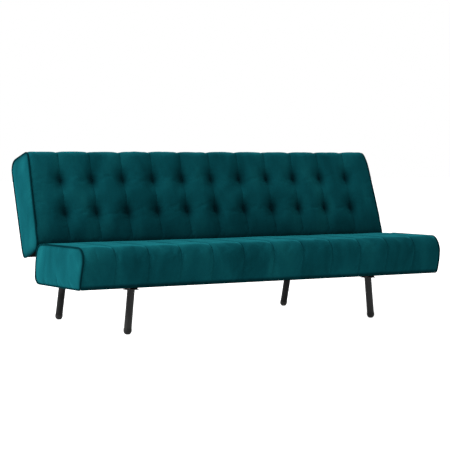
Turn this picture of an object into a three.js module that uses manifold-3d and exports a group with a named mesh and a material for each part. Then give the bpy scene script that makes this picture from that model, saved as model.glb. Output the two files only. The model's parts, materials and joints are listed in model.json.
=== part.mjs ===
// A click-clack sofa bed: a padded seat and a padded backrest on a hidden timber frame, two steel bearers with
// four splayed tube legs, and a ratchet hinge at each end that lets the back drop level with the seat.
// Millimetres, +X along the sofa, +Y from the seat's front edge to the back, +Z up, origin on the floor under
// the middle of the whole sofa.
import * as THREE from "three";
import { mergeVertices } from "three/addons/utils/BufferGeometryUtils.js";
import Module from "manifold-3d";

const wasm = await Module();
wasm.setup();

// ---------------------------------------------------------------- driving dimensions
const gap = 0.3; // between pieces that touch
const overallDepth = 890;

const seatLength = 1900;
const seatDepth = 450;
const seatTop = 388;
const seatBottom = 213;
const frontBulge = 8; // how far the padded front swells past its nominal plane
const topBulge = 3; // and how far at its top edge
const bulgeDrop = 60; // the swell is greatest this far below the top
const frontTuck = 14; // how far the front's bottom edge is pulled back
const seatFront = -overallDepth / 2 + frontBulge;
const seatRear = seatFront + seatDepth;
const seatRadii = { bottomFront: 6, bottomRear: 30, topRear: 45, topFront: 36, front: 40 };

const backLength = 1880;
const backHeight = 444; // along the leaning face
const backThickness = 176;
const lean = THREE.MathUtils.degToRad(18); // from upright, with the sofa set for sitting
const backToe = 17; // the face runs on this far below the seat's top
const backOverlap = 20; // and starts this far ahead of the seat's rear
const backRadii = { bottomFront: 34, bottomRear: 8, topRear: 45, topFront: 24 };

const coverThickness = 3;
const clothThickness = 1.2;
const railThickness = 22;

const pivotDepth = 30; // below the seat's top, and behind the back's face
const flatTurn = Math.PI / 2 - lean;

const bearerX = 640;
const bearerWidth = 38;
const bearerTop = 210.5;
const bearerHeight = 14.5;
const tubeWall = 1.5;
const plateSide = 52;
const plateThickness = 3;
const legRadius = 17;
const footRadius = 18.1;
const footTrim = 1.8; // cut off the round of each foot cap, so that it stands on a flat
const frontLegY = seatFront + 152;
const frontSplay = Math.atan(0.0986); // outwards along X
const rearRake = Math.atan(0.2676); // backwards along Y

// ---------------------------------------------------------------- materials
const finish = (color, roughness, metalness = 0) => () =>
  new THREE.MeshStandardMaterial({ color, roughness, metalness });
const velvet = finish(0x0d5a63, 0.8);
const foam = finish(0xe8dcb4, 0.95);
const pine = finish(0xc9a26c, 0.75);
const plywood = finish(0xb98f5e, 0.7);
const blackPaint = finish(0x151516, 0.4, 0.6);
const zincSteel = finish(0xa7aab0, 0.35, 0.9);
const blackPlastic = finish(0x101011, 0.6);
const blackCloth = finish(0x0c0c0d, 0.95);

// ---------------------------------------------------------------- geometry helpers
function toSolid(geometry) {
  const bare = geometry.clone();
  bare.deleteAttribute("normal");
  bare.deleteAttribute("uv");
  const merged = mergeVertices(bare, 1e-3);
  return new wasm.Manifold(
    new wasm.Mesh({
      numProp: 3,
      vertProperties: merged.attributes.position.array,
      triVerts: new Uint32Array(merged.index.array),
    }),
  );
}

function toGeometry(solid) {
  const mesh = solid.getMesh();
  const indexed = new THREE.BufferGeometry();
  indexed.setAttribute("position", new THREE.BufferAttribute(mesh.vertProperties, 3));
  indexed.setIndex(new THREE.BufferAttribute(mesh.triVerts, 1));
  const faceted = indexed.toNonIndexed();
  faceted.computeVertexNormals();
  return faceted;
}

const cut = (body, ...tools) => tools.reduce((solid, tool) => solid.subtract(tool), body);

// A box between two corners.
function block(low, high) {
  const size = high.map((value, axis) => value - low[axis]);
  const centre = high.map((value, axis) => (value + low[axis]) / 2);
  return new THREE.BoxGeometry(...size).translate(...centre);
}

const onCircle = ([y, z], radius, angle) => [y + radius * Math.cos(angle), z + radius * Math.sin(angle)];

// A ring of points about a centre.
const circle = (radius, centre, count) =>
  Array.from({ length: count }, (_, k) => onCircle(centre, radius, (2 * Math.PI * k) / count));

// An outline in the YZ plane, extruded from x0 to x1.
function prism(outline, x0, x1) {
  const shape = new THREE.Shape(outline.map(([y, z]) => new THREE.Vector2(y, z)));
  const geometry = new THREE.ExtrudeGeometry(shape, { depth: x1 - x0, bevelEnabled: false });
  const acrossX = new THREE.Matrix4().makeBasis(
    new THREE.Vector3(0, 1, 0),
    new THREE.Vector3(0, 0, 1),
    new THREE.Vector3(1, 0, 0),
  );
  return geometry.applyMatrix4(acrossX).translate(x0, 0, 0);
}

// A round bar along X.
function barX(radius, x0, x1, y, z, sides = 24) {
  const bar = new THREE.CylinderGeometry(radius, radius, x1 - x0, sides).rotateZ(Math.PI / 2);
  return bar.translate((x0 + x1) / 2, y, z);
}

// A convex outline of corners [y, z, radius], moved inwards by inset, with each corner rounded.
function roundedOutline(corners, inset = 0, steps = 5) {
  const count = corners.length;
  const lines = corners.map(([y, z], i) => {
    const [nextY, nextZ] = corners[(i + 1) % count];
    const length = Math.hypot(nextY - y, nextZ - z);
    const inward = [-(nextZ - z) / length, (nextY - y) / length];
    return { inward, offset: inward[0] * y + inward[1] * z + inset };
  });
  return corners.flatMap(([, , radius = 0], i) => {
    const before = lines[(i + count - 1) % count];
    const after = lines[i];
    const kept = Math.max(radius - inset, 0.01);
    const cross = before.inward[0] * after.inward[1] - before.inward[1] * after.inward[0];
    const a = before.offset + kept;
    const b = after.offset + kept;
    const centre = [
      (a * after.inward[1] - b * before.inward[1]) / cross,
      (b * before.inward[0] - a * after.inward[0]) / cross,
    ];
    const start = Math.atan2(-before.inward[1], -before.inward[0]);
    const turn = Math.atan2(cross, before.inward[0] * after.inward[0] + before.inward[1] * after.inward[1]);
    const arcSteps = radius > inset ? steps : 0;
    return Array.from({ length: arcSteps + 1 }, (_, k) => {
      const angle = start + (turn * k) / Math.max(arcSteps, 1);
      return [centre[0] + kept * Math.cos(angle), centre[1] + kept * Math.sin(angle)];
    });
  });
}

// ---------------------------------------------------------------- the assembly
const sofa = new THREE.Group();
const back = new THREE.Group();
back.position.set(0, seatRear - backOverlap, seatTop - backToe);
back.rotation.x = -lean;
sofa.add(back);

function addPiece(parent, name, geometry, material) {
  const mesh = new THREE.Mesh(geometry, material());
  mesh.name = name;
  parent.add(mesh);
  return mesh;
}

const sides = [
  { side: "left", sign: -1 },
  { side: "right", sign: 1 },
];

// The stretch of X between two distances from the middle, on the side that sign names.
const sideSpan = (sign, near, far) => (sign < 0 ? [-far, -near] : [near, far]);

const sidePrism = (outline, sign, near, far) => prism(outline, ...sideSpan(sign, near, far));
const sideBar = (radius, sign, near, far, y, z, count) =>
  toSolid(barX(radius, ...sideSpan(sign, near, far), y, z, count));

// The hinge line: level with neither pad, but halfway between the back's face and the seat's top, so that the
// two come into one plane when the back lies flat.
const faceAtSeatTop = back.position.y + backToe * Math.tan(lean);
const pivot = {
  y: faceAtSeatTop + pivotDepth * Math.tan(flatTurn / 2),
  z: seatTop - pivotDepth,
};

// The same line seen from the back's own frame: depth behind its face, height above its lower edge.
const pivotInBack = {
  depth: pivotDepth,
  height: (pivot.y - back.position.y) * Math.sin(lean) + (pivot.z - back.position.z) * Math.cos(lean),
};

// ---------------------------------------------------------------- hinges
// Stack along X at each end, counted from the middle of the sofa: rivet head, back arm, seat arm, pin head.
const frameEnd = 922;
const sideRailInner = frameEnd - railThickness;
const stileInner = 893;
const armThickness = 3;
const seatArmNear = sideRailInner - gap - armThickness;
const backArmNear = stileInner - gap - armThickness;
const hingeSlot = { near: 884.5, far: 904.5 };
const headRadius = 24;
const neckRadius = 15; // where an arm's edges run into its head
const slotRadius = 29;
const slotNeckRadius = 25;
const pinRadius = 6;
const boreRadius = pinRadius + gap;
const railClear = 2.5; // between an arm and the edge of a rail it passes

// Four notches in the seat arm's head, one for each position of the back.
const notchCount = 4;
const notchPitch = flatTurn / (notchCount - 1);
const notchDepth = 3.5;
const notchWidth = 4.4;
const pawlAngle = THREE.MathUtils.degToRad(27); // where the pawl points from, above +Y, with the back up

const seatRails = {
  front: seatFront + 45,
  rear: seatRear - 34,
  low: seatBottom - 0.7,
  high: 297,
};
const backRails = { front: 92, rear: 171, low: 4, high: 394 };

function hingeHead(sign, near, centre) {
  return toSolid(sidePrism(circle(headRadius, centre, 32), sign, near, near + armThickness));
}

function hingeBore(sign, centre) {
  return sideBar(boreRadius, sign, hingeSlot.near, hingeSlot.far, ...centre);
}

// One notch across the seat arm's head, at an angle about the pivot.
function makeNotch(sign, centre, angle) {
  const half = notchWidth / 2;
  const notch = block([-notchDepth / 2, -armThickness, -half], [notchDepth, armThickness, half]);
  const turned = new THREE.Matrix4().makeBasis(
    new THREE.Vector3(0, Math.cos(angle), Math.sin(angle)),
    new THREE.Vector3(1, 0, 0),
    new THREE.Vector3(0, Math.sin(angle), -Math.cos(angle)),
  );
  const [y, z] = onCircle(centre, headRadius - notchDepth / 2, angle);
  return toSolid(notch.applyMatrix4(turned).translate(sign * (seatArmNear + armThickness / 2), y, z));
}

// A tab on the side rail, and a neck that passes over the rear rail to the head.
function makeSeatArm(sign) {
  const centre = [pivot.y, pivot.z];
  const tab = { front: seatRails.rear - 104, rear: seatRails.rear - railThickness - 2, low: 228, high: 290 };
  const neckLow = seatRails.high + railClear;
  const plate = sidePrism(
    [
      [tab.front, tab.low],
      [tab.rear, tab.low],
      [tab.rear, neckLow],
      [seatRails.rear + 11, neckLow],
      onCircle(centre, neckRadius, -1.2),
      onCircle(centre, neckRadius, 2.45),
      [tab.front + 54, tab.high + 6],
      [tab.front, tab.high],
    ],
    sign,
    seatArmNear,
    seatArmNear + armThickness,
  );
  const notches = Array.from({ length: notchCount }, (_, i) =>
    makeNotch(sign, centre, pawlAngle - i * notchPitch),
  );
  const arm = toSolid(plate).add(hingeHead(sign, seatArmNear, centre));
  return toGeometry(cut(arm, hingeBore(sign, centre), ...notches));
}

// The back arm, in the back's frame: depth runs along Y and height along Z.
function makeBackArm(sign) {
  const centre = [pivotInBack.depth, pivotInBack.height];
  const tab = { front: backRails.front + 6, rear: backRails.rear - 5, high: 112 };
  const overRail = backRails.low + railThickness;
  const plate = sidePrism(
    [
      onCircle(centre, neckRadius, -0.7),
      [backRails.front - 8, overRail - 4],
      [backRails.front - 2, overRail + 6],
      [tab.rear, overRail + 6],
      [tab.rear, tab.high],
      [tab.front, tab.high],
      onCircle(centre, neckRadius, 2.03),
    ],
    sign,
    backArmNear,
    backArmNear + armThickness,
  );
  const arm = toSolid(plate).add(hingeHead(sign, backArmNear, centre));
  return toGeometry(cut(arm, hingeBore(sign, centre)));
}

function makePivotPin(sign) {
  const headThickness = 2.2;
  const headOverhang = { inner: 4, outer: 5 };
  const inner = backArmNear - gap;
  const outer = seatArmNear + armThickness + gap;
  const at = [pivot.y, pivot.z];
  const shaft = sideBar(pinRadius, sign, inner - 1, outer + 1, ...at);
  const innerHead = sideBar(pinRadius + headOverhang.inner, sign, inner - headThickness, inner, ...at);
  const outerHead = sideBar(pinRadius + headOverhang.outer, sign, outer, outer + headThickness, ...at);
  return toGeometry(shaft.add(innerHead).add(outerHead));
}

// A finger on the back arm that drops into the notches. It is drawn lifted clear of them.
function makePawl(sign) {
  const lift = 1.2;
  const length = 27;
  const width = { tip: 3.6, shoulder: 7, root: 10 };
  const studRadius = 3;
  const towards = pawlAngle + lean; // the same direction, in the back's frame
  const at = (reach, side) => [
    pivotInBack.depth + reach * Math.cos(towards) - side * Math.sin(towards),
    pivotInBack.height + reach * Math.sin(towards) + side * Math.cos(towards),
  ];
  const tip = headRadius + lift;
  const shoulder = tip + 6;
  const root = tip + length - width.root / 2;
  const outline = [
    at(shoulder, width.shoulder / 2),
    at(root, width.root / 2),
    at(tip + length, 0),
    at(root, -width.root / 2),
    at(shoulder, -width.shoulder / 2),
    at(tip, -width.tip / 2),
    at(tip, width.tip / 2),
  ];
  const finger = toSolid(sidePrism(outline, sign, seatArmNear, seatArmNear + armThickness));
  const backArmFar = backArmNear + armThickness + gap;
  const stud = sideBar(studRadius, sign, backArmFar, seatArmNear + 1, ...at(root - 2, 0), 16);
  return toGeometry(finger.add(stud));
}

for (const { side, sign } of sides) {
  addPiece(sofa, `hinge_seat_arm_${side}`, makeSeatArm(sign), zincSteel);
  addPiece(sofa, `hinge_pin_${side}`, makePivotPin(sign), zincSteel);
  addPiece(back, `hinge_back_arm_${side}`, makeBackArm(sign), zincSteel);
  addPiece(back, `hinge_pawl_${side}`, makePawl(sign), zincSteel);
}

// Room in the padding for a hinge: a round well about the pivot, and a way in for the arm.
function hingeWells(centre, armWay) {
  return sides.flatMap(({ sign }) => [
    toSolid(sidePrism(circle(slotRadius, centre, 20), sign, hingeSlot.near, hingeSlot.far)),
    toSolid(sidePrism(armWay, sign, hingeSlot.near, hingeSlot.far)),
  ]);
}

// ---------------------------------------------------------------- seat
const deckThickness = 8;
const deckTop = seatRails.high + gap + deckThickness;
const frameClear = 3; // between the padding and the frame inside it

const seatCorners = [
  [seatFront + frontTuck, seatBottom, seatRadii.bottomFront],
  [seatRear, seatBottom, seatRadii.bottomRear],
  [seatRear, seatTop, seatRadii.topRear],
  [seatFront - topBulge, seatTop, seatRadii.topFront],
  [seatFront - frontBulge, seatTop - bulgeDrop, seatRadii.front],
];

function seatLayer(inset) {
  return toSolid(prism(roundedOutline(seatCorners, inset), -seatLength / 2 + inset, seatLength / 2 - inset));
}

function seatArmWay() {
  const centre = [pivot.y, pivot.z];
  const [front, rear] = [seatRails.rear - 51, seatRails.rear + 14];
  const [low, high] = [seatRails.high - 7, seatRails.high + 6];
  return [
    [front, low],
    [rear, low],
    onCircle(centre, slotNeckRadius, -1.07),
    onCircle(centre, slotNeckRadius, 2.36),
    [front, high],
  ];
}

const seatWells = hingeWells([pivot.y, pivot.z], seatArmWay());

// The cover is open underneath, where its edge is stapled to the rails.
function makeSeatCover() {
  const hem = 27;
  const mouth = toSolid(
    block(
      [-seatLength / 2 + hem, seatRails.front - 1, seatBottom - coverThickness],
      [seatLength / 2 - hem, seatRails.rear + 1, seatBottom + 3 * coverThickness],
    ),
  );
  return toGeometry(cut(seatLayer(0), seatLayer(coverThickness), mouth, ...seatWells));
}

function makeSeatFoam() {
  const frameRoom = toSolid(
    block(
      [-frameEnd - frameClear, seatRails.front - frameClear, seatBottom - frameClear],
      [frameEnd + frameClear, seatRails.rear + frameClear, deckTop + gap],
    ),
  );
  return toGeometry(cut(seatLayer(coverThickness + gap), frameRoom, ...seatWells));
}

function addSeatFrame() {
  const { front, rear, low, high } = seatRails;
  const between = sideRailInner - gap;
  const rail = (name, from, to) => addPiece(sofa, name, block(from, to), pine);
  rail("seat_rail_front", [-between, front, low], [between, front + railThickness, high]);
  rail("seat_rail_rear", [-between, rear - railThickness, low], [between, rear, high]);
  rail("seat_rail_left", [-frameEnd, front, low], [-sideRailInner, rear, high]);
  rail("seat_rail_right", [sideRailInner, front, low], [frameEnd, rear, high]);
  const innerFront = front + railThickness + gap;
  const innerRear = rear - railThickness - gap;
  const half = railThickness / 2;
  const middleHeight = 60;
  rail("seat_rail_middle", [-half, innerFront, high - middleHeight], [half, innerRear, high]);
  const deckEnd = hingeSlot.near - 4;
  addPiece(sofa, "seat_deck", block([-deckEnd, front, high + gap], [deckEnd, rear, deckTop]), plywood);
}

function addSeatDustCover() {
  const margin = 12;
  const low = seatRails.low - gap - clothThickness;
  const sheet = block(
    [-seatLength / 2 + margin, seatFront + frontTuck + margin, low],
    [seatLength / 2 - margin, seatRear - 2 * margin, low + clothThickness],
  );
  addPiece(sofa, "seat_dust_cover", sheet, blackCloth);
}

addPiece(sofa, "seat_cover", makeSeatCover(), velvet);
addPiece(sofa, "seat_foam", makeSeatFoam(), foam);
addSeatFrame();
addSeatDustCover();

// ---------------------------------------------------------------- backrest
// Every piece of the back is placed in the back's own frame: Y is depth behind the face, Z is height.
const buttonColumns = 11;
const buttonPitch = 157.4;
const buttonRows = [309.5, 159.3]; // heights above the back's lower edge
const buttonRadius = 12;
const tuft = { mouth: 27, floor: 13.5, depth: 17 };
const stileOuter = stileInner + railThickness;

const backCorners = [
  [0, 0, backRadii.bottomFront],
  [backThickness, 0, backRadii.bottomRear],
  [backThickness, backHeight, backRadii.topRear],
  [0, backHeight, backRadii.topFront],
];
const tuftCentres = buttonRows.flatMap((height, row) =>
  Array.from({ length: buttonColumns }, (_, column) => {
    const x = (column - (buttonColumns - 1) / 2) * buttonPitch;
    return { x, height, row, column };
  }),
);

function backLayer(inset) {
  return toSolid(prism(roundedOutline(backCorners, inset), -backLength / 2 + inset, backLength / 2 - inset));
}

// A flared pit in the face around each button, its wall set back by inset.
function tufts(inset) {
  return tuftCentres.map(({ x, height }) => {
    const length = tuft.depth + inset;
    const pit = new THREE.CylinderGeometry(tuft.floor + inset, tuft.mouth + inset, length, 10);
    return toSolid(pit.translate(x, length / 2, height));
  });
}

function backArmWay() {
  const centre = [pivotInBack.depth, pivotInBack.height];
  const inner = backRails.front + 4;
  return [
    onCircle(centre, slotNeckRadius, -Math.PI / 2),
    [inner - 20, -10],
    [inner, backRails.low + railThickness + 2],
    [inner, 120],
    onCircle(centre, slotNeckRadius, 2.25),
  ];
}

const backWells = hingeWells([pivotInBack.depth, pivotInBack.height], backArmWay());

// The cover wraps under the front edge and over the top, and is open below and behind for the dust cover.
const wrapUnder = 46;
const wrapOver = 55;
const clear = 5; // how far a cutting block runs on past the part it cuts

function makeBackCover() {
  const end = backLength / 2 - coverThickness;
  const pad = cut(backLayer(coverThickness), ...tufts(coverThickness));
  const lip = 3 * coverThickness;
  const mouthBelow = block([-end, wrapUnder, -clear], [end, backThickness + clear, lip]);
  const mouthBehind = block(
    [-end, backThickness - lip, -clear],
    [end, backThickness + clear, backHeight - wrapOver],
  );
  const shell = cut(backLayer(0), ...tufts(0), pad, toSolid(mouthBelow), toSolid(mouthBehind));
  return toGeometry(cut(shell, ...backWells));
}

function makeBackFoam() {
  const frameRoom = block(
    [-stileOuter - frameClear, backRails.front - frameClear, -clear],
    [stileOuter + frameClear, backThickness + clear, backRails.high + frameClear],
  );
  const inset = coverThickness + gap;
  return toGeometry(cut(backLayer(inset), ...tufts(inset), toSolid(frameRoom), ...backWells));
}

function addBackFrame() {
  const { front, rear, low, high } = backRails;
  const rail = (name, from, to) => addPiece(back, name, block(from, to), pine);
  const bottomEnd = stileInner - gap;
  rail("back_rail_bottom", [-bottomEnd, front, low], [bottomEnd, rear, low + railThickness]);
  rail("back_rail_top", [-stileOuter, front, high - railThickness], [stileOuter, rear, high]);
  const stileTop = high - railThickness - gap;
  rail("back_stile_left", [-stileOuter, front, low], [-stileInner, rear, stileTop]);
  rail("back_stile_right", [stileInner, front, low], [stileOuter, rear, stileTop]);
}

// One black sheet that closes the underside and turns up over the rear.
function addBackDustCover() {
  const end = backLength / 2 - coverThickness - gap;
  const bottom = clothThickness;
  const behind = backThickness - 2 * clothThickness;
  const front = wrapUnder + 1;
  const top = backHeight - wrapOver - 1;
  const outline = [
    [front, bottom],
    [behind + clothThickness, bottom],
    [behind + clothThickness, top],
    [behind, top],
    [behind, bottom + clothThickness],
    [front, bottom + clothThickness],
  ];
  const sheet = toSolid(prism(outline, -end, end));
  addPiece(back, "back_dust_cover", toGeometry(cut(sheet, ...backWells)), blackCloth);
}

function addButtons() {
  const thickness = 8;
  const rim = 0.35 * thickness;
  const shoulder = { radius: 0.7 * buttonRadius, height: 0.85 * thickness };
  const profile = [
    [0, 0],
    [buttonRadius, 0],
    [buttonRadius, rim],
    [shoulder.radius, shoulder.height],
    [0, thickness],
  ].map(([radius, height]) => new THREE.Vector2(radius, height));
  const rowNames = ["upper", "lower"];
  for (const { x, height, row, column } of tuftCentres) {
    const number = String(column + 1).padStart(2, "0");
    const dome = new THREE.LatheGeometry(profile, 10).rotateX(Math.PI);
    const button = addPiece(back, `back_button_${rowNames[row]}_${number}`, dome, velvet);
    button.position.set(x, tuft.depth - gap, height);
  }
}

addPiece(back, "back_cover", makeBackCover(), velvet);
addPiece(back, "back_foam", makeBackFoam(), foam);
addBackFrame();
addBackDustCover();
addButtons();

// ---------------------------------------------------------------- bearers and legs
const plateTop = bearerTop - bearerHeight - gap;
const legTop = plateTop - plateThickness - gap;
const domeCentre = footRadius - footTrim; // height of the middle of a foot cap's round end
const rearFootY = overallDepth / 2 - footRadius + domeCentre * Math.tan(rearRake);
const legs = [
  { name: "front_left", foot: [-bearerX - legTop * Math.tan(frontSplay), frontLegY], tilt: [frontSplay, 0] },
  { name: "front_right", foot: [bearerX + legTop * Math.tan(frontSplay), frontLegY], tilt: [-frontSplay, 0] },
  { name: "rear_left", foot: [-bearerX, rearFootY], tilt: [0, rearRake] },
  { name: "rear_right", foot: [bearerX, rearFootY], tilt: [0, rearRake] },
];
const rearLegTopY = rearFootY - legTop * Math.tan(rearRake);

// Turns a shape built up the Z axis onto a leg's own axis, and moves it to the foot.
function onLeg({ foot, tilt }, geometry) {
  const [leanX, leanY] = tilt;
  return toSolid(geometry.rotateX(leanY).rotateY(leanX).translate(foot[0], foot[1], 0));
}

// A round bar up the leg's axis, between two distances from the foot.
function legBar(leg, radius, from, to) {
  const bar = new THREE.CylinderGeometry(radius, radius, to - from, 24);
  return onLeg(leg, bar.rotateX(Math.PI / 2).translate(0, 0, (from + to) / 2));
}

const capHeight = 26;
const capFloor = domeCentre - 1;
const level = (from, to) => toSolid(block([-seatLength, -seatLength, from], [seatLength, seatLength, to]));

function makeLeg(leg) {
  const overLong = legTop + 60;
  const tube = legBar(leg, legRadius, capFloor + gap, overLong).subtract(
    legBar(leg, legRadius - tubeWall, capFloor - 5, overLong + 5),
  );
  return toGeometry(tube.subtract(level(legTop, overLong + 60)));
}

// A cup over the end of the tube, with a round end that is cut level where it stands.
function makeFootCap(leg) {
  const centre = domeCentre / (Math.cos(leg.tilt[0]) * Math.cos(leg.tilt[1]));
  const round = new THREE.SphereGeometry(footRadius, 24, 12).rotateX(Math.PI / 2).translate(0, 0, centre);
  const cup = legBar(leg, footRadius, centre, capHeight)
    .add(onLeg(leg, round))
    .subtract(legBar(leg, legRadius + gap, capFloor, capHeight + footRadius));
  return toGeometry(cup.subtract(level(-2 * footRadius, 0)));
}

function addBearer(side, sign) {
  const overhang = plateSide / 2;
  const front = frontLegY - overhang;
  const rear = rearLegTopY + overhang;
  const [left, right] = [sign * bearerX - bearerWidth / 2, sign * bearerX + bearerWidth / 2];
  const tube = toSolid(block([left, front, bearerTop - bearerHeight], [right, rear, bearerTop]));
  const hollow = block(
    [left + tubeWall, front - 5, bearerTop - bearerHeight + tubeWall],
    [right - tubeWall, rear + 5, bearerTop - tubeWall],
  );
  addPiece(sofa, `bearer_${side}`, toGeometry(tube.subtract(toSolid(hollow))), blackPaint);
}

function addLeg(leg) {
  const [x, y] = [Math.sign(leg.foot[0]) * bearerX, leg.tilt[1] ? rearLegTopY : frontLegY];
  const half = plateSide / 2;
  const plate = block([x - half, y - half, plateTop - plateThickness], [x + half, y + half, plateTop]);
  addPiece(sofa, `leg_plate_${leg.name}`, plate, blackPaint);
  addPiece(sofa, `leg_${leg.name}`, makeLeg(leg), blackPaint);
  addPiece(sofa, `foot_cap_${leg.name}`, makeFootCap(leg), blackPlastic);
}

for (const { side, sign } of sides) addBearer(side, sign);
for (const leg of legs) addLeg(leg);

export default sofa;
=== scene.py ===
import json
import math

import bpy
import numpy as np
from mathutils import Matrix, Vector, noise


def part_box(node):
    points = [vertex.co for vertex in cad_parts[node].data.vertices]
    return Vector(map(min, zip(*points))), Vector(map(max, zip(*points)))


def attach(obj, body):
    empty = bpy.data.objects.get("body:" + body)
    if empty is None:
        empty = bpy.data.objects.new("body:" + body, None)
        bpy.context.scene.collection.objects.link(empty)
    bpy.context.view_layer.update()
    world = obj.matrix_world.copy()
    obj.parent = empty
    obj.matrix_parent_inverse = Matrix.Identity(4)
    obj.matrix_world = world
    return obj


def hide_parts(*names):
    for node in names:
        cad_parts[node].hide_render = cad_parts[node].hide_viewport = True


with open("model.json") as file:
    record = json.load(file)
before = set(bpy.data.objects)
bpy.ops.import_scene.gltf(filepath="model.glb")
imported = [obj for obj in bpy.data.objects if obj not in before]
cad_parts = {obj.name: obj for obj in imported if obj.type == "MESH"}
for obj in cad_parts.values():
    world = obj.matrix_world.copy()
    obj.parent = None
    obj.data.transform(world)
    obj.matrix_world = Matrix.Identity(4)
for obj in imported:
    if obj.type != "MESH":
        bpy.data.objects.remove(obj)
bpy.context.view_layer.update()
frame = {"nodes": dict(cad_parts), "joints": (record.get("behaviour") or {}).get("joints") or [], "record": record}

# A teal velvet click-clack sofa bed. Metres, +X along the sofa, +Y towards the back, +Z up.
SCENE = bpy.context.scene

# ---------------------------------------------------------------- places and sizes, from the frame
seat_low, seat_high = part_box("seat_cover")
hinge = frame["joints"][0]
PIVOT = Vector(hinge["pos_m"])
FLAT_TURN = math.radians(hinge["range_deg"][1])
LEAN = math.pi / 2 - FLAT_TURN

SEAT_HALF = seat_high.x
BACK_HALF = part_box("back_cover")[1].x
SEAT_TOP = seat_high.z
SEAT_BOTTOM = seat_low.z
SEAT_REAR = seat_high.y
FRONT_BULGE = 0.008  # how far the seat's face bulges forwards
SEAT_FRONT = seat_low.y + FRONT_BULGE

BACK_TOE = 0.017  # how far the back's foot stands below the seat's top
BACK_OVERLAP = 0.020  # and in front of its rear
BACK_HEIGHT = 0.444
BACK_DEPTH = 0.176
BACK_ORIGIN = Vector((0, SEAT_REAR - BACK_OVERLAP, SEAT_TOP - BACK_TOE))
BACK_FRAME = Matrix.Translation(BACK_ORIGIN) @ Matrix.Rotation(-LEAN, 4, "X")

CHANNELS = 12
SEAT_PITCH = 0.159
BUTTON_PITCH = 0.1574
BUTTON_ROWS = {"upper": 0.3095, "lower": 0.1593}  # heights up the back
BUTTON_COLUMNS = CHANNELS - 1
BUTTON_RADIUS = 0.012
SEED = 7


# ---------------------------------------------------------------- camera
CAMERA_PLACE = (-3.7747, -6.0603, 0.7562)
CAMERA_TURN = math.radians(32.03)  # round to the sofa's left
CAMERA_DOWN = math.radians(2.48)
CAMERA_LENS = 121.96
SENSOR_WIDTH = 36


def make_camera():
    data = bpy.data.cameras.new("camera")
    data.sensor_width = SENSOR_WIDTH
    data.lens = CAMERA_LENS
    data.clip_end = 100
    camera = bpy.data.objects.new("camera", data)
    camera.location = CAMERA_PLACE
    camera.rotation_euler = (math.pi / 2 - CAMERA_DOWN, 0, -CAMERA_TURN)
    SCENE.collection.objects.link(camera)
    SCENE.camera = camera


make_camera()


# ---------------------------------------------------------------- material helpers
MIX_FACTOR, MIX_A, MIX_B, MIX_RESULT = 0, 6, 7, 2  # the Mix node's sockets for colours


def grey(value):
    return (value, value, value)


def new_material(name, base, roughness, metallic=0.0):
    material = bpy.data.materials.new(name)
    material.use_nodes = True
    shader = material.node_tree.nodes["Principled BSDF"]
    shader.inputs["Base Color"].default_value = (*base, 1)
    shader.inputs["Roughness"].default_value = roughness
    shader.inputs["Metallic"].default_value = metallic
    return material, material.node_tree, shader


def object_coordinates(tree, scale=(1, 1, 1)):
    source = tree.nodes.new("ShaderNodeTexCoord")
    mapping = tree.nodes.new("ShaderNodeMapping")
    mapping.inputs["Scale"].default_value = scale
    tree.links.new(source.outputs["Object"], mapping.inputs["Vector"])
    return mapping.outputs["Vector"]


def noise_texture(tree, vector, scale, detail=3.0, roughness=0.5, distortion=0.0):
    node = tree.nodes.new("ShaderNodeTexNoise")
    node.inputs["Scale"].default_value = scale
    node.inputs["Detail"].default_value = detail
    node.inputs["Roughness"].default_value = roughness
    node.inputs["Distortion"].default_value = distortion
    tree.links.new(vector, node.inputs["Vector"])
    return node.outputs["Fac"]


def ramp(tree, factor, *stops):
    """A colour ramp; each stop is its place and its colour."""
    node = tree.nodes.new("ShaderNodeValToRGB")
    elements = node.color_ramp.elements
    while len(elements) < len(stops):
        elements.new(0.5)
    for element, (place, colour) in zip(elements, stops):
        element.position = place
        element.color = (*colour, 1)
    tree.links.new(factor, node.inputs["Fac"])
    return node.outputs["Color"]


def multiply(tree, a, b):
    node = tree.nodes.new("ShaderNodeMix")
    node.data_type = "RGBA"
    node.blend_type = "MULTIPLY"
    node.inputs[MIX_FACTOR].default_value = 1.0
    tree.links.new(a, node.inputs[MIX_A])
    tree.links.new(b, node.inputs[MIX_B])
    return node.outputs[MIX_RESULT]


def bump(tree, height, distance, strength, normal=None):
    node = tree.nodes.new("ShaderNodeBump")
    node.inputs["Distance"].default_value = distance
    node.inputs["Strength"].default_value = strength
    tree.links.new(height, node.inputs["Height"])
    if normal is not None:
        tree.links.new(normal, node.inputs["Normal"])
    return node.outputs["Normal"]


# ---------------------------------------------------------------- materials
TEAL = (0.004, 0.05, 0.06)
TEAL_SHEEN = (0.045, 0.62, 0.72, 1)
NAP_TONES = (
    (0.30, (0.0010, 0.022, 0.027)),
    (0.52, (0.0016, 0.033, 0.040)),
    (0.72, (0.0026, 0.046, 0.053)),
)
# Painted shade: how far the base colour is darkened for each amount of the shade attribute.
PAINTED_SHADE_STOPS = (
    (0.0, grey(1)),
    (0.5, (0.42, 0.40, 0.42)),
    (1.0, (0.03, 0.03, 0.04)),
)


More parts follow.
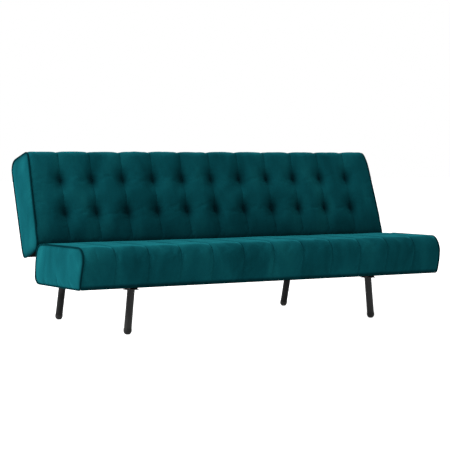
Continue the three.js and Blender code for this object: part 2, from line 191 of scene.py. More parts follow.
def velvet(name, sheen):
    """Brushed nap, fine pile and a soft crush. A mesh attribute of painted shade darkens the base colour where
    shade falls: seams, tuft pits, edges, piping and buttons.
    """
    material, tree, shader = new_material(name, TEAL, 0.9)
    shader.inputs["Specular IOR Level"].default_value = 0
    shader.inputs["Sheen Weight"].default_value = sheen
    shader.inputs["Sheen Roughness"].default_value = 0.42
    shader.inputs["Sheen Tint"].default_value = TEAL_SHEEN
    place = object_coordinates(tree)
    along_pile = object_coordinates(tree, scale=(1, 1, 0.4))
    nap = noise_texture(tree, along_pile, 8, detail=4, roughness=0.55, distortion=0.4)
    pile = noise_texture(tree, place, 420, detail=2, roughness=0.6)
    specks = ramp(tree, pile, (0.35, grey(0.75)), (0.65, grey(1.0)))
    colour = multiply(tree, ramp(tree, nap, *NAP_TONES), specks)
    # Painted shade: the per-vertex attribute darkens the base colour where shade falls; the sheen is left as it
    # is.
    painted_shade = tree.nodes.new("ShaderNodeAttribute")
    painted_shade.attribute_name = "painted_shade"
    shade = ramp(tree, painted_shade.outputs["Fac"], *PAINTED_SHADE_STOPS)
    tree.links.new(multiply(tree, colour, shade), shader.inputs["Base Color"])
    crush = bump(tree, noise_texture(tree, place, 55), distance=0.0012, strength=0.5)
    hairs = bump(tree, pile, distance=0.0005, strength=0.6, normal=crush)
    tree.links.new(hairs, shader.inputs["Normal"])
    return material


def black_steel(name, gloss):
    """Painted tube, faintly smudged."""
    material, tree, shader = new_material(name, grey(0.004), 0.38)
    shader.inputs["Specular IOR Level"].default_value = gloss
    place = object_coordinates(tree)
    smudge = noise_texture(tree, place, 18, detail=4)
    colour = ramp(tree, smudge, (0.35, grey(0.003)), (0.7, grey(0.007)))
    tree.links.new(colour, shader.inputs["Base Color"])
    grain = noise_texture(tree, place, 700, detail=2)
    tree.links.new(bump(tree, grain, distance=0.0002, strength=0.5), shader.inputs["Normal"])
    return material


def zinc_steel():
    """Plated hinge parts, with patches of a warmer tone."""
    material, tree, shader = new_material("zinc_steel", (0.55, 0.56, 0.58), 0.36, metallic=1.0)
    place = object_coordinates(tree)
    patches = noise_texture(tree, place, 60)
    colour = ramp(tree, patches, (0.3, (0.42, 0.43, 0.44)), (0.7, (0.66, 0.65, 0.60)))
    tree.links.new(colour, shader.inputs["Base Color"])
    grain = noise_texture(tree, place, 500)
    tree.links.new(bump(tree, grain, distance=0.0002, strength=0.3), shader.inputs["Normal"])
    return material


def black_plastic():
    """Foot caps, lightly scuffed."""
    material, tree, shader = new_material("black_plastic", grey(0.003), 0.5)
    shader.inputs["Specular IOR Level"].default_value = 0.15
    place = object_coordinates(tree)
    scuffs = noise_texture(tree, place, 120, detail=4)
    colour = ramp(tree, scuffs, (0.4, grey(0.002)), (0.75, grey(0.008)))
    tree.links.new(colour, shader.inputs["Base Color"])
    grain = noise_texture(tree, place, 900)
    tree.links.new(bump(tree, grain, distance=0.0002, strength=0.4), shader.inputs["Normal"])
    return material


def dust_cloth():
    """Non-woven black cloth with pressed dimples."""
    material, tree, shader = new_material("dust_cloth", grey(0.003), 0.95)
    shader.inputs["Specular IOR Level"].default_value = 0
    place = object_coordinates(tree)
    fibres = noise_texture(tree, place, 90, detail=5, roughness=0.6)
    colour = ramp(tree, fibres, (0.3, (0.0015, 0.0015, 0.0017)), (0.75, grey(0.005)))
    tree.links.new(colour, shader.inputs["Base Color"])
    dimples = tree.nodes.new("ShaderNodeTexVoronoi")
    dimples.inputs["Scale"].default_value = 400
    dimples.inputs["Randomness"].default_value = 0.25
    tree.links.new(place, dimples.inputs["Vector"])
    pressed = bump(tree, dimples.outputs["Distance"], distance=0.0004, strength=0.6)
    tree.links.new(pressed, shader.inputs["Normal"])
    return material


def wood(name, dark, light, stretch):
    """Grain drawn out by the stretch of its coordinates."""
    material, tree, shader = new_material(name, light, 0.7)
    along = object_coordinates(tree, stretch)
    rings = noise_texture(tree, along, 30, detail=5, roughness=0.6, distortion=1.2)
    tree.links.new(ramp(tree, rings, (0.35, dark), (0.65, light)), shader.inputs["Base Color"])
    tree.links.new(bump(tree, rings, distance=0.0006, strength=0.4), shader.inputs["Normal"])
    return material


def foam():
    material, tree, shader = new_material("foam", (0.80, 0.72, 0.50), 0.95)
    pores = noise_texture(tree, object_coordinates(tree), 300)
    colour = ramp(tree, pores, (0.3, (0.66, 0.58, 0.38)), (0.7, (0.84, 0.77, 0.56)))
    tree.links.new(colour, shader.inputs["Base Color"])
    tree.links.new(bump(tree, pores, distance=0.0008, strength=0.6), shader.inputs["Normal"])
    return material


def pale_floor():
    material, _, shader = new_material("floor", grey(0.35), 0.9)
    shader.inputs["Specular IOR Level"].default_value = 0.1
    shader.inputs["Emission Color"].default_value = (1, 1, 1, 1)
    shader.inputs["Emission Strength"].default_value = 1.0
    return material


MATERIALS = {
    "velvet": velvet("velvet", sheen=0.17),
    # A shaded copy of the velvet: its lower sheen stands in for shade on the piping and on the buttons deep in
    # their pits.
    "velvet_shaded": velvet("velvet_shaded", sheen=0.06),
    "black_steel": black_steel("black_steel", gloss=0.18),
    # A shaded copy of the black steel: less reflection stands in for the shade the rear legs stand in under the
    # sofa.
    "black_steel_shaded": black_steel("black_steel_shaded", gloss=0.05),
    "zinc_steel": zinc_steel(),
    "black_plastic": black_plastic(),
    "dust_cloth": dust_cloth(),
    "pine": wood("pine", (0.42, 0.25, 0.11), (0.66, 0.46, 0.25), stretch=(0.25, 1, 1)),
    "plywood": wood("plywood", (0.36, 0.22, 0.11), (0.55, 0.38, 0.20), stretch=(0.4, 1, 4)),
    "foam": foam(),
    "floor": pale_floor(),
}


def dress_cad_nodes():
    """Every CAD node gets its slot's material; the rear legs get a darker, less glossy copy of the black steel,
    painted shade for the sofa's shadow they stand in.
    """
    slots = {s["node"]: s["material_slot"] for s in frame["record"]["subparts"]}
    for name, node in frame["nodes"].items():
        material = "black_steel_shaded" if name.startswith("leg_rear") else slots[name]
        node.data.materials.clear()
        node.data.materials.append(MATERIALS[material])


dress_cad_nodes()


# ---------------------------------------------------------------- mesh helpers
def link_mesh(name, vertices, faces, material, smooth=True):
    mesh = bpy.data.meshes.new(name)
    mesh.from_pydata([tuple(v) for v in vertices], [], [tuple(f) for f in faces])
    mesh.validate()
    mesh.update()
    mesh.polygons.foreach_set("use_smooth", [smooth] * len(mesh.polygons))
    mesh.materials.append(MATERIALS[material])
    piece = bpy.data.objects.new(name, mesh)
    SCENE.collection.objects.link(piece)
    return piece


def positions(piece):
    flat = np.empty(len(piece.data.vertices) * 3, np.float32)
    piece.data.vertices.foreach_get("co", flat)
    return flat.reshape(-1, 3).astype(float)


def set_positions(piece, points):
    piece.data.vertices.foreach_set("co", np.asarray(points, np.float32).ravel())
    piece.data.update()


def apply_modifiers(piece):
    graph = bpy.context.evaluated_depsgraph_get()
    mesh = bpy.data.meshes.new_from_object(piece.evaluated_get(graph), depsgraph=graph)
    piece.modifiers.clear()
    piece.data = mesh


def subdivide(piece):
    modifier = piece.modifiers.new("subdivide", "SUBSURF")
    modifier.levels = 1
    modifier.render_levels = 1
    modifier.use_limit_surface = False
    apply_modifiers(piece)


def place_on(piece, body, replaced=()):
    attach(piece, body)
    if replaced:
        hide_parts(*replaced)


def add_painted_shade(piece, values):
    """Painted shade on the velvet at each vertex, from 0, open to the light, to 1, deep in shade."""
    painted_shade = piece.data.attributes.new("painted_shade", "FLOAT", "POINT")
    painted_shade.data.foreach_set("value", np.asarray(values, np.float32))


def rounded_outline(corners, spacing):
    """Evenly spaced points round a closed side view. Corners are (a, b, radius), anticlockwise."""
    arc_steps = 8
    points = []
    count = len(corners)
    for i, (a, b, radius) in enumerate(corners):
        here = np.array((a, b))
        to_before = np.array(corners[i - 1][:2]) - here
        to_after = np.array(corners[(i + 1) % count][:2]) - here
        to_before = to_before / np.linalg.norm(to_before)
        to_after = to_after / np.linalg.norm(to_after)
        half = math.acos(np.clip(to_before @ to_after, -1, 1)) / 2
        bisector = (to_before + to_after) / np.linalg.norm(to_before + to_after)
        centre = here + bisector * radius / math.sin(half)
        start = here + to_before * radius / math.tan(half) - centre
        turn = math.pi - 2 * half
        for k in range(arc_steps + 1):
            angle = turn * k / arc_steps
            cos, sin = math.cos(angle), math.sin(angle)
            points.append(centre + (start[0] * cos - start[1] * sin, start[0] * sin + start[1] * cos))
    points = np.array(points + points[:1])
    lengths = np.r_[0, np.cumsum(np.linalg.norm(np.diff(points, axis=0), axis=1))]
    steps = round(lengths[-1] / spacing)
    places = np.arange(steps) * lengths[-1] / steps
    return np.stack([np.interp(places, lengths, points[:, axis]) for axis in (0, 1)], axis=1)


def outward_normals(outline):
    along = np.roll(outline, -1, axis=0) - np.roll(outline, 1, axis=0)
    normals = np.stack([along[:, 1], -along[:, 0]], axis=1)
    return normals / np.linalg.norm(normals, axis=1)[:, None]


# ---------------------------------------------------------------- falling off and rising
def bell(distance, width, power=2.0):
    """1 at no distance, falling to nothing past the width; a high power makes a flatter top."""
    return np.exp(-((np.abs(distance) / width) ** power))


def fading(distance, width):
    """1 at no distance, with a sharp point, falling away over the width."""
    return math.exp(-distance / width)


def ramp_up(value, start, end):
    """A smooth step from 0 at start to 1 at end."""
    t = np.clip((value - start) / (end - start), 0, 1)
    return t * t * (3 - 2 * t)


# ---------------------------------------------------------------- pads
PAD_INSET = 0.0015  # how far inside the CAD's ends the pads' end seams lie
COLUMNS_PER_CHANNEL = 18
SEAM_CROWDING = 0.10
SPACING = 0.008

SLOT = (0.8845, 0.9045)  # the hinge arms' slots run between these distances from the middle
SLOT_LIP = 0.0015
SLOT_CLEAR = 0.004
SOCKET_RADIUS = 0.031
ENDS_FROM = SLOT[1] + 0.006  # a pad's ends have their own shape from here outwards
TOUCHING = 1e-6

PANEL_RINGS = 14
PANEL_CROWDING = 1.3
PANEL_CROWN = 0.007
PANEL_EDGE_DIP = 0.003
# Painted shade along the seam round each end panel.
PANEL_EDGE_SHADE = 0.8
DIP_FADES = 18  # how fast the dip and the painted shade fade, from the seam at 0 to the middle at 1
PANEL_SHADE_FADES = 26

WANDER = 0.0014  # how far the fabric strays from its even shape
LINE_WIDTH = 0.004  # of the painted shade line along a seam
END_SEAM_DIP = 0.001
END_SEAM_WIDTH = 0.005
# Painted shade along the end seams.
END_SEAM_SHADE = 0.6

CLOTH_PRESSURE = 4.0
CLOTH_FRAMES = 20


class Columns:
    """The places along X where a pad's outline is repeated, closer together beside each seam."""

    def __init__(self, half, pitch):
        seams = (np.arange(CHANNELS - 1) - (CHANNELS - 2) / 2) * pitch
        edges = np.r_[-half, seams, half]
        steps = np.arange(COLUMNS_PER_CHANNEL) / COLUMNS_PER_CHANNEL
        crowded = steps - SEAM_CROWDING * np.sin(2 * math.pi * steps)
        xs = np.concatenate([a + (b - a) * crowded for a, b in zip(edges[:-1], edges[1:])])
        xs = np.r_[xs, half]
        near, far = SLOT
        keep = (np.abs(xs) < near - SLOT_CLEAR) | (np.abs(xs) > far + SLOT_CLEAR)
        across = [near, (2 * near + far) / 3, (near + 2 * far) / 3, far]
        slot = np.array([near - SLOT_LIP, *across, far + SLOT_LIP])
        self.x = np.sort(np.r_[xs[keep], slot, -slot])
        self.half = half
        self.to_seam = np.min(np.abs(self.x[:, None] - seams[None, :]), axis=1)
        self.is_seam = self.to_seam < TOUCHING
        self.to_end = half - np.abs(self.x)
        index = np.clip(np.searchsorted(edges, self.x, side="right") - 1, 0, CHANNELS - 1)
        self.share = (self.x - edges[index]) / (edges[index + 1] - edges[index])
        self.in_slot = (np.abs(self.x) > near - TOUCHING) & (np.abs(self.x) < far + TOUCHING)
        self.sewn = self.is_seam | (self.to_end < TOUCHING)


def towards_end(x, half):
    """From 0, just past the hinge slots, to 1 at the end of a pad."""
    return ramp_up(abs(x), ENDS_FROM, half)


def drawn_in(x, half, amount):
    """Moves the end of a pad inwards by amount, or outwards where that is less than 0."""
    return x - math.copysign(1, x) * amount * towards_end(x, half)


def wandering(x, outline, coarse, fine, coarse_seed):
    """Smooth random bumps round the outline, in a coarse and a finer size."""
    bumps = np.zeros(len(outline))
    for share, scale, seed in ((1, coarse, coarse_seed), (0.5, fine, SEED)):
        shift = Vector((seed, 2 * seed, 3 * seed))
        bumps += [share * noise.noise(Vector((x, a, b)) * scale + shift) for a, b in outline]
    return bumps


def by_hinge(columns, i, outline, centre):
    """True round the mouth of a hinge socket, on the columns that it cuts."""
    distance = np.hypot(outline[:, 0] - centre[0], outline[:, 1] - centre[1])
    return (distance < SOCKET_RADIUS + 2 * SPACING) & columns.in_slot[i]


def open_sockets(columns, loops, centre):
    """Tucks the fabric in round each hinge, where the arms go in."""
    centre = np.array(centre)
    for i in np.flatnonzero(columns.in_slot):
        away = loops[i][:, 1:] - centre
        distance = np.linalg.norm(away, axis=1)[:, None]
        loops[i][:, 1:] = centre + away / distance * np.maximum(distance, SOCKET_RADIUS)


def add_end_panels(columns, loops, shades, middle, panel_shade):
    """Rings that close in on the middle of each end, over a dip at the seam and then a crown, with painted shade
    along the seam and an even painted shade over the whole panel.
    """
    first, last = loops[0], loops[-1]
    for k in range(1, PANEL_RINGS + 1):
        share = (k / (PANEL_RINGS + 1)) ** PANEL_CROWDING
        crown = PANEL_CROWN * (1 - (1 - share) ** 3) - PANEL_EDGE_DIP * math.exp(-share * DIP_FADES)
        shade = np.full(len(first), panel_shade + PANEL_EDGE_SHADE * math.exp(-share * PANEL_SHADE_FADES))
        for end, base in ((-1, first), (1, last)):
            ring = base.copy()
            ring[:, 1:] = middle + (base[:, 1:] - middle) * (1 - share)
            ring[:, 0] = end * (columns.half + crown)
            at = 0 if end < 0 else len(loops)
            loops.insert(at, ring)
            shades.insert(at, shade)


def grid_faces(rows, count):
    """The quads between rows of points, and a fan from each end row to the tip beyond it."""
    faces = []
    low_tip, high_tip = rows * count, rows * count + 1
    last_row = (rows - 1) * count
    for i in range(rows - 1):
        for j in range(count):
            k = (j + 1) % count
            faces.append((i * count + j, i * count + k, (i + 1) * count + k, (i + 1) * count + j))
    for j in range(count):
        k = (j + 1) % count
        faces.append((low_tip, k, j))
        faces.append((high_tip, last_row + j, last_row + k))
    return faces


def pad_mesh(name, outline, columns, offsets, painted_shades, panel_shade, socket, place):
    """A closed pad: the outline swept along X with its offsets, and a crowned panel on each end.
    offsets and the painted shade have a row for each column; place turns (x, a, b) into the world."""
    normals = outward_normals(outline)
    loops = [
        np.column_stack([np.full(len(outline), x), outline + normals * row[:, None]])
        for x, row in zip(columns.x, offsets)
    ]
    open_sockets(columns, loops, socket)
    shades = list(painted_shades)
    middle = (outline.max(axis=0) + outline.min(axis=0)) / 2
    add_end_panels(columns, loops, shades, middle, panel_shade)
    tips = [(end * (columns.half + PANEL_CROWN), *middle) for end in (-1, 1)]
    points = np.concatenate([*loops, np.array(tips)])
    faces = grid_faces(len(loops), len(outline))
    piece = link_mesh(name, [place(*p) for p in points], faces, "velvet")
    add_painted_shade(piece, np.r_[np.concatenate(shades), panel_shade, panel_shade])
    return piece


def for_each_vertex(columns, outline, panel, level):
    """A value for each vertex of a pad: level(i) round column i, and one value on the end panels."""
    rings = np.full(PANEL_RINGS * len(outline), panel)
    body = np.concatenate([level(i) for i in range(len(columns.x))])
    return np.r_[rings, body, rings, panel, panel]


def crease_seams(piece, columns, count, sharpness):
    """Keeps the seam columns sharp when the pad is subdivided."""
    mesh = piece.data
    ends = np.empty(len(mesh.edges) * 2, np.int32)
    mesh.edges.foreach_get("vertices", ends)
    column = ends.reshape(-1, 2) // count - PANEL_RINGS
    on_seam = np.zeros(len(columns.x) + 2 * PANEL_RINGS + 2, bool)
    on_seam[:len(columns.x)] = columns.is_seam
    along = column[:, 0] == column[:, 1]
    sharp = along & on_seam[np.clip(column[:, 0], -1, len(on_seam) - 1)]
    crease = mesh.attributes.new("crease_edge", "FLOAT", "EDGE")
    crease.data.foreach_set("value", np.where(sharp, sharpness, 0).astype(np.float32))


def add_cloth(piece, held, slack):
    group = piece.vertex_groups.new(name="held")
    group.add([int(i) for i in np.flatnonzero(held)], 1.0, "REPLACE")
    cloth = piece.modifiers.new("cloth", "CLOTH")
    settings = cloth.settings
    settings.quality = 4
    settings.mass = 0.3
    settings.tension_stiffness = 12
    settings.compression_stiffness = 12
    settings.shear_stiffness = 4
    settings.bending_stiffness = 0.4
    settings.vertex_group_mass = "held"
    settings.pin_stiffness = 1
    settings.use_pressure = True
    settings.uniform_pressure_force = CLOTH_PRESSURE
    settings.shrink_min = -slack
    settings.effector_weights.gravity = 0
    cloth.collision_settings.use_collision = False
    cloth.point_cache.frame_end = CLOTH_FRAMES


def inflate(piece, held, caps, slack):
    """Blows the pad up with Blender's cloth, holding some vertices, and keeps every move under its cap."""
    before = positions(piece)
    add_cloth(piece, held, slack)
    for number in range(1, CLOTH_FRAMES + 1):
        SCENE.frame_set(number)
    graph = bpy.context.evaluated_depsgraph_get()
    moved = piece.evaluated_get(graph).to_mesh()
    flat = np.empty(len(moved.vertices) * 3, np.float32)
    moved.vertices.foreach_get("co", flat)
    piece.evaluated_get(graph).to_mesh_clear()
    piece.modifiers.clear()
    piece.vertex_groups.clear()
    shift = flat.reshape(-1, 3) - before
    length = np.maximum(np.linalg.norm(shift, axis=1), 1e-9)
    set_positions(piece, before + shift * (caps * np.tanh(length / caps) / length)[:, None])
    SCENE.frame_set(1)


def finish_pad(piece, columns, outline, held, caps, slack, sharpness):
    """slack is the cloth's spare length, as a share; sharpness is how crisp its seams stay."""
    inflate(piece, held, caps, slack)
    crease_seams(piece, columns, len(outline), sharpness)
    subdivide(piece)


# ---------------------------------------------------------------- seat pad
# A pad's side view has a, the depth from front to rear, and b, the height.
SEAT_TUCK = 0.019
SEAT_CORNERS = [
    (SEAT_FRONT + SEAT_TUCK, SEAT_BOTTOM, 0.016),
    (SEAT_REAR, SEAT_BOTTOM, 0.030),
    (SEAT_REAR, SEAT_TOP, 0.045),
    (SEAT_FRONT - 0.002, SEAT_TOP, 0.046),
    (SEAT_FRONT - FRONT_BULGE, SEAT_TOP - 0.060, 0.040),
]
SEAT_QUILTED_FROM = (0.05, 0.22)  # the quilting sets in between these distances from the rear

SEAT_CORNER_IN = 0.003  # at its ends the seat is drawn in at the upper corners
SEAT_FOOT_IN = 0.002  # and along the bottom edge,
SEAT_SWELL = 0.0045  # and stands out between them;
SEAT_CORNER_BACK = 0.009  # its upper front corners are set back
SEAT_CORNER_SIZE = 0.060

SEAT_CROWN = 0.0014
SEAT_GROOVE = 0.0022
SEAT_GROOVE_WIDTH = 0.007
SEAT_PINCH = 0.0045  # how much deeper a groove is where it turns over the front edge
SEAT_PINCH_SIZE = 0.034

# Painted shade in the seat's seam grooves, stronger where they pinch over the front edge.
SEAT_SEAM_SHADE = 0.10
SEAT_PINCH_SHADE = 0.28
# Painted shade over the seat's top, dimming it where the light falls across it.
SEAT_TOP_SHADE = 0.20

SEAT_CAPS = (0.0006, 0.0019, 0.0030)  # the cloth's most movement at the rear, and what is added
SEAT_PANEL_CAP = 0.002  # to it where the seat is quilted and at the front; then on the end panels


def to_seat(x, a, b):
    """Into the world, with rounder corners at the ends and a slight swell below them."""
    top_front = bell(math.hypot(a - SEAT_FRONT, b - SEAT_TOP), SEAT_CORNER_SIZE)
    top_rear = bell(math.hypot(a - SEAT_REAR, b - SEAT_TOP), SEAT_CORNER_SIZE)
    foot = bell(b - SEAT_BOTTOM, 0.016)
    swell = ramp_up(SEAT_TOP - b, 0.020, 0.13)
    inwards = SEAT_CORNER_IN * (top_front + top_rear) + SEAT_FOOT_IN * foot - SEAT_SWELL * swell
    back = SEAT_CORNER_BACK * top_front * towards_end(x, SEAT_HALF)
    return Vector((drawn_in(x, SEAT_HALF, inwards), a + back, b))


def seat_surface(outline, columns):
    """How far the seat's surface stands off its outline, and how much painted shade it gets."""
    a, b = outline.T
    rise = ramp_up(b, SEAT_BOTTOM + 0.002, SEAT_BOTTOM + 0.05)
    quilted = ramp_up(SEAT_REAR - a, *SEAT_QUILTED_FROM) * rise
    pinch = bell(np.hypot(a - SEAT_FRONT - 0.010, b - SEAT_TOP + 0.006), SEAT_PINCH_SIZE)
    relief = 1 - 0.3 * ramp_up(SEAT_FRONT + 0.03 - a, 0, 0.02)
    # Painted shade: a dark line along the bottom of the seat's front, where it turns under.
    low_edge = bell(b - SEAT_BOTTOM, 0.013, 3) * ramp_up(SEAT_FRONT + 0.05 - a, 0, 0.02)
    # Painted shade over the top face.
    on_top = SEAT_TOP_SHADE * ramp_up(a, SEAT_FRONT + 0.04, SEAT_FRONT + 0.10) * rise
    offsets, painted_shades = [], []
    for x, to_seam, to_end, share in zip(columns.x, columns.to_seam, columns.to_end, columns.share):
        crown = 1 - abs(2 * share - 1) ** 3
        groove = fading(to_seam, SEAT_GROOVE_WIDTH)
        row = quilted * relief * (SEAT_CROWN * crown - SEAT_GROOVE * groove)
        row += -SEAT_PINCH * pinch * groove - END_SEAM_DIP * fading(to_end, END_SEAM_WIDTH) * rise
        row += WANDER * wandering(x, outline, 9, 22, SEED) * rise
        offsets.append(row)
        painted_shade = quilted * (SEAT_SEAM_SHADE * fading(to_seam, LINE_WIDTH) + SEAT_PINCH_SHADE * groove * pinch)
        painted_shade += END_SEAM_SHADE * fading(to_end, LINE_WIDTH) * rise + low_edge + on_top
        painted_shades.append(np.clip(painted_shade, 0, 1))
    return np.array(offsets), np.array(painted_shades)


def make_seat_pad():
    outline = rounded_outline(SEAT_CORNERS, SPACING)
    columns = Columns(SEAT_HALF - PAD_INSET, SEAT_PITCH)
    offsets, painted_shades = seat_surface(outline, columns)
    socket = PIVOT.yz
    piece = pad_mesh("seat_pad", outline, columns, offsets, painted_shades, 0.0, socket, to_seat)
    a, b = outline.T
    tucked = (b < SEAT_BOTTOM + 0.006) | (a > SEAT_REAR - 0.010)

    def hold(i):
        return tucked | by_hinge(columns, i, outline, socket) | columns.sewn[i]

    at_rear, quilted, at_front = SEAT_CAPS
    cap = at_rear + quilted * ramp_up(SEAT_REAR - a, *SEAT_QUILTED_FROM)
    cap += at_front * ramp_up(SEAT_FRONT + 0.04 - a, 0, 0.05)
    held = for_each_vertex(columns, outline, False, hold)
    caps = for_each_vertex(columns, outline, SEAT_PANEL_CAP, lambda i: cap)
    finish_pad(piece, columns, outline, held, caps, slack=0.012, sharpness=0.6)
    place_on(piece, "base", ("seat_cover", "seat_foam"))
    return outline


# ---------------------------------------------------------------- back pad
# In the back's own frame a is 0 at its face and b is 0 at its foot.
BACK_CORNERS = [
    (0.0, 0.0, 0.034),
    (BACK_DEPTH, 0.0, 0.008),
    (BACK_DEPTH, BACK_HEIGHT, 0.045),
    (0.0, BACK_HEIGHT, 0.024),
]
BUTTON_HEIGHTS = np.array(list(BUTTON_ROWS.values()))
WRAP_UNDER = 0.046  # the dust cloth covers the underside from here
WRAP_OVER = 0.055  # and the rear up to this far below the top
CLOTH_ROOM = 0.0045  # how far the velvet is sunk there

BACK_TAPER = 0.015  # the face's ends are drawn in upwards,
BACK_SPREAD = 0.009  # from this far out at the foot
BACK_REAR_SPREAD = 0.0035
BACK_TOP_FRONT_IN = 0.004
BACK_TOP_REAR_IN = 0.002
BACK_CORNER_BACK = 0.010
BACK_HEEL_FORWARD = 0.006
BACK_SAG = 0.011

BACK_CROWN = 0.0018
BACK_GROOVE = 0.0010
BUTTON_GROOVE = 0.0025  # how much deeper a groove is at the height of a button
BUTTON_PULL = 0.0140
BUTTON_PULL_SIZE = 0.024
TOP_PINCH = 0.0035  # how much deeper a groove is where it turns over the top edge
TOP_LIFT = 0.001

# Painted shade in the tuft pits and where the seams pinch over the top edge.
BUTTON_PIT_SHADE = 0.67
TOP_PINCH_SHADE = 0.4
# Painted shade: darker towards the back's foot, where the seat shades it.
FOOT_SHADE = 0.35
# Painted shade over the back's end panels, making them darker than the seat's.
BACK_PANEL_SHADE = 0.11
BACK_CAP = 0.003


def to_back(x, a, b):
    """Into the world. The ends widen a little downwards, round off at the top and sag at the bottom."""
    rise = b / BACK_HEIGHT
    top_front = bell(math.hypot(a, b - BACK_HEIGHT), 0.042)
    top_rear = bell(math.hypot(a - BACK_DEPTH, b - BACK_HEIGHT), 0.050)
    corners = BACK_TOP_FRONT_IN * top_front + BACK_TOP_REAR_IN * top_rear
    at_face = BACK_TAPER * max(rise, 0) ** 1.3 - BACK_SPREAD
    at_rear = BACK_REAR_SPREAD * (rise - 1)
    inwards = corners + at_face + (at_rear - at_face) * ramp_up(a, 0.05, BACK_DEPTH)
    back = BACK_CORNER_BACK * top_front * towards_end(x, BACK_HALF)
    at_end = ramp_up(abs(x), BACK_HALF - 0.014, BACK_HALF)
    forward = BACK_HEEL_FORWARD * bell(math.hypot(a - BACK_DEPTH, b), 0.020) * at_end
    sag = BACK_SAG * math.sin(math.pi * min(max(a / BACK_DEPTH, 0), 1)) * bell(b, 0.030) * at_end
    return BACK_FRAME @ Vector((drawn_in(x, BACK_HALF, inwards), a + back - forward, b - sag))


def back_surface(outline, columns):
    """As for the seat. Each button pulls the seam it sits on into a deep pit."""
    a, b = outline.T
    face = ramp_up(0.034 - a, 0, 0.02)
    over = ramp_up(b, BACK_HEIGHT - 0.03, BACK_HEIGHT - 0.005) * ramp_up(BACK_DEPTH - 0.02 - a, 0, 0.06)
    quilted = np.maximum(face, over) * ramp_up(b, 0.025, 0.09)
    pinch = bell(np.hypot(a - 0.006, b - BACK_HEIGHT + 0.010), 0.020)
    under_cloth = ramp_up(a, WRAP_UNDER - 0.004, WRAP_UNDER + 0.002)
    under_cloth = under_cloth * ramp_up(BACK_HEIGHT - WRAP_OVER - b, -0.001, 0.004)
    # Painted shade falling off upwards from the foot.
    foot = bell(b - 0.02, 0.10) * face
    # Painted shade along the seams, strongest low on the face.
    seam_line_shade = 0.04 + 0.08 * bell(b - 0.09, 0.05)
    above = b[:, None] - BUTTON_HEIGHTS[None, :]
    pull = bell(above, 0.050).max(axis=1)
    groove_width = 0.010 + 0.010 * pull
    groove_depth = BACK_GROOVE + BUTTON_GROOVE * pull
    offsets, painted_shades = [], []
    for x, to_seam, to_end, share in zip(columns.x, columns.to_seam, columns.to_end, columns.share):
        crown = 1 - abs(2 * share - 1) ** 2.6
        radius = np.hypot(to_seam, 0.75 * above).min(axis=1)
        pit = bell(np.maximum(radius - 0.009, 0), BUTTON_PULL_SIZE, 1.5)
        row = quilted * (BACK_CROWN * crown - groove_depth * np.exp(-to_seam / groove_width))
        row += -BUTTON_PULL * pit * face - TOP_PINCH * pinch * fading(to_seam, 0.009)
        row += WANDER * wandering(x, outline, 8, 20, 3 * SEED) * quilted
        row += TOP_LIFT * over - CLOTH_ROOM * under_cloth
        row += -END_SEAM_DIP * fading(to_end, END_SEAM_WIDTH) * (1 - under_cloth)
        offsets.append(row)
        line = fading(to_seam, LINE_WIDTH)
        painted_shade = quilted * seam_line_shade * line + BUTTON_PIT_SHADE * bell(radius, 0.026, 1.8) * face
        painted_shade += TOP_PINCH_SHADE * pinch * line + END_SEAM_SHADE * fading(to_end, LINE_WIDTH) + FOOT_SHADE * foot
        painted_shades.append(np.clip(painted_shade, 0, 1))
    return np.array(offsets), np.array(painted_shades)


def make_back_pad():
    outline = rounded_outline(BACK_CORNERS, SPACING)
    columns = Columns(BACK_HALF - PAD_INSET, BUTTON_PITCH)
    offsets, painted_shades = back_surface(outline, columns)
    socket = (BACK_FRAME.inverted() @ PIVOT).yz
    piece = pad_mesh("back_pad", outline, columns, offsets, painted_shades, BACK_PANEL_SHADE, socket, to_back)
    a, b = outline.T
    tucked = (a > WRAP_UNDER - 0.006) & (b < BACK_HEIGHT - WRAP_OVER + 0.008)
    to_row = np.abs(b[:, None] - BUTTON_HEIGHTS[None, :]).min(axis=1)

    def hold(i):
        under_button = (np.hypot(columns.to_seam[i], to_row) < BUTTON_RADIUS) & (a < 0.03)
        return tucked | under_button | by_hinge(columns, i, outline, socket) | columns.sewn[i]

    held = for_each_vertex(columns, outline, False, hold)
    finish_pad(piece, columns, outline, held, BACK_CAP, slack=0.006, sharpness=0.35)
    place_on(piece, "backrest", ("back_cover", "back_foam"))
    return outline


# ---------------------------------------------------------------- piping
PIPING_RADIUS = 0.0040
PIPING_INSET = 0.002
# Painted shade: the piping is darkened to read as the shadowed line along the pads' ends.
PIPING_SHADE = 0.72
PIPING_SUNK = 0.0006  # how far its middle lies inside the pad's outline,
SUNK_BY_HINGE = 0.0031  # and how much deeper within this far of the hinge
BY_HINGE = (0.088, 0.115)


def tube(name, path, radius, material, sides=12):
    """A closed round tube along a closed path."""
    path = np.array([tuple(p) for p in path])
    count = len(path)
    along = np.roll(path, -1, axis=0) - np.roll(path, 1, axis=0)
    along /= np.linalg.norm(along, axis=1)[:, None]
    side = np.array((1.0, 0.0, 0.0))
    up = np.cross(along, side)
    up /= np.linalg.norm(up, axis=1)[:, None]
    rows = []
    for k in range(sides):
        angle = 2 * math.pi * k / sides
        rows.append(path + radius * (math.cos(angle) * side + math.sin(angle) * up))
    faces = []
    for k in range(sides):
        following = (k + 1) % sides
        for i in range(count):
            j = (i + 1) % count
            faces.append((k * count + i, following * count + i, following * count + j, k * count + j))
    return link_mesh(name, np.concatenate(rows), faces, material)


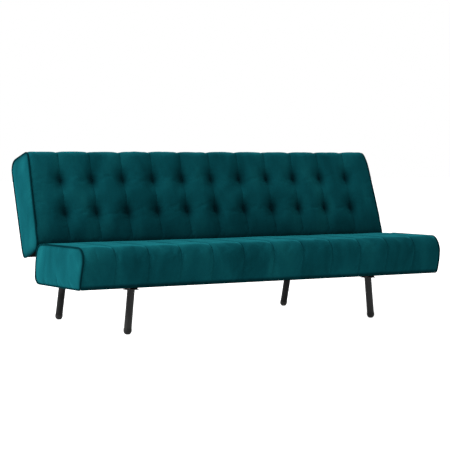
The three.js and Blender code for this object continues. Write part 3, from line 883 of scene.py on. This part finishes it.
def add_piping(outline, half, place, body, pad, centre):
    """A cord round each end of a pad, sunk deeper round the hinge, where the two pads press together."""
    from_hinge = np.hypot(outline[:, 0] - centre[0], outline[:, 1] - centre[1])
    sunk = PIPING_SUNK + SUNK_BY_HINGE * (1 - ramp_up(from_hinge, *BY_HINGE))
    path = outline - outward_normals(outline) * sunk[:, None]
    for side, sign in (("left", -1), ("right", 1)):
        points = [place(sign * (half - PIPING_INSET), a, b) for a, b in path]
        piece = tube(f"{pad}_piping_{side}", points, PIPING_RADIUS, "velvet_shaded")
        add_painted_shade(piece, [PIPING_SHADE] * len(piece.data.vertices))
        place_on(piece, body)


# ---------------------------------------------------------------- buttons
BUTTON_PROFILE = [  # radius and height, from the middle of the back to the middle of the front
    (0.0, 0.0), (0.0100, 0.0), (0.0117, 0.0008), (BUTTON_RADIUS, 0.0020), (0.0115, 0.0034),
    (0.0098, 0.0052), (0.0070, 0.0066), (0.0036, 0.0073), (0.0, 0.0075),
]
BUTTON_SEGMENTS = 32
BUTTON_PLEATS = 8
PLEAT_DEPTH = 0.018
BUTTON_SUNK = 0.0225  # how far behind the back's face the button's back lies
RIM_FROM = 0.009
# Painted shade on the buttons, deep in their pits.
BUTTON_RIM_SHADE = 0.85
BUTTON_CROWN_SHADE = 0.7


def button_mesh():
    """A domed button whose cover is pleated round its rim."""
    height = BUTTON_PROFILE[-1][1]
    vertices = [(0, 0, 0), (0, -height, 0)]
    rings = BUTTON_PROFILE[1:-1]
    for radius, out in rings:
        for k in range(BUTTON_SEGMENTS):
            angle = 2 * math.pi * k / BUTTON_SEGMENTS
            pleat = 1 + PLEAT_DEPTH * math.cos(BUTTON_PLEATS * angle) * (1 - out / height)
            vertices.append((radius * pleat * math.cos(angle), -out, radius * pleat * math.sin(angle)))
    faces = []
    last = 2 + (len(rings) - 1) * BUTTON_SEGMENTS
    for k in range(BUTTON_SEGMENTS):
        following = (k + 1) % BUTTON_SEGMENTS
        faces.append((0, 2 + k, 2 + following))
        faces.append((1, last + following, last + k))
        for row in range(len(rings) - 1):
            low = 2 + row * BUTTON_SEGMENTS
            high = low + BUTTON_SEGMENTS
            faces.append((low + k, high + k, high + following, low + following))
    return vertices, faces


def add_buttons():
    vertices, faces = button_mesh()
    shades = [BUTTON_RIM_SHADE if math.hypot(x, z) > RIM_FROM else BUTTON_CROWN_SHADE for x, _, z in vertices]
    for row, height in BUTTON_ROWS.items():
        for column in range(BUTTON_COLUMNS):
            x = (column - (BUTTON_COLUMNS - 1) / 2) * BUTTON_PITCH
            number = f"{column + 1:02d}"
            piece = link_mesh(f"tuft_button_{row}_{number}", vertices, faces, "velvet_shaded")
            add_painted_shade(piece, shades)
            piece.matrix_world = BACK_FRAME @ Matrix.Translation((x, BUTTON_SUNK, height))
            place_on(piece, "backrest", (f"back_button_{row}_{number}",))


# ---------------------------------------------------------------- floor and light
def make_floor():
    half = 40
    corners = [(-half, -half, 0), (half, -half, 0), (half, half, 0), (-half, half, 0)]
    floor = link_mesh("floor", corners, [(0, 1, 2, 3)], "floor", smooth=False)


def area_light(name, place, target, size, power):
    data = bpy.data.lights.new(name, "AREA")
    data.shape = "RECTANGLE"
    data.size, data.size_y = size
    data.energy = power
    light = bpy.data.objects.new(name, data)
    light.location = place
    aim = Vector(target) - Vector(place)
    light.rotation_euler = aim.to_track_quat("-Z", "Y").to_euler()
    SCENE.collection.objects.link(light)


def make_lights():
    world = bpy.data.worlds.new("world")
    world.use_nodes = True
    sky = world.node_tree.nodes["Background"]
    sky.inputs["Color"].default_value = (1, 1, 1, 1)
    sky.inputs["Strength"].default_value = 1.0
    SCENE.world = world
    SCENE.view_settings.view_transform = "Standard"
    area_light("key", place=(-6.2, -0.4, 3.8), target=(0, 0, 0.4), size=(3, 3), power=1300)
    area_light("top", place=(0.5, 0.8, 5.0), target=(0, 0, 0.3), size=(4, 3), power=15)


# ---------------------------------------------------------------- the sofa
seat_outline = make_seat_pad()
back_outline = make_back_pad()
add_piping(seat_outline, SEAT_HALF, to_seat, "base", "seat", PIVOT.yz)
add_piping(back_outline, BACK_HALF, to_back, "backrest", "back", (BACK_FRAME.inverted() @ PIVOT).yz)
add_buttons()
make_floor()
make_lights()
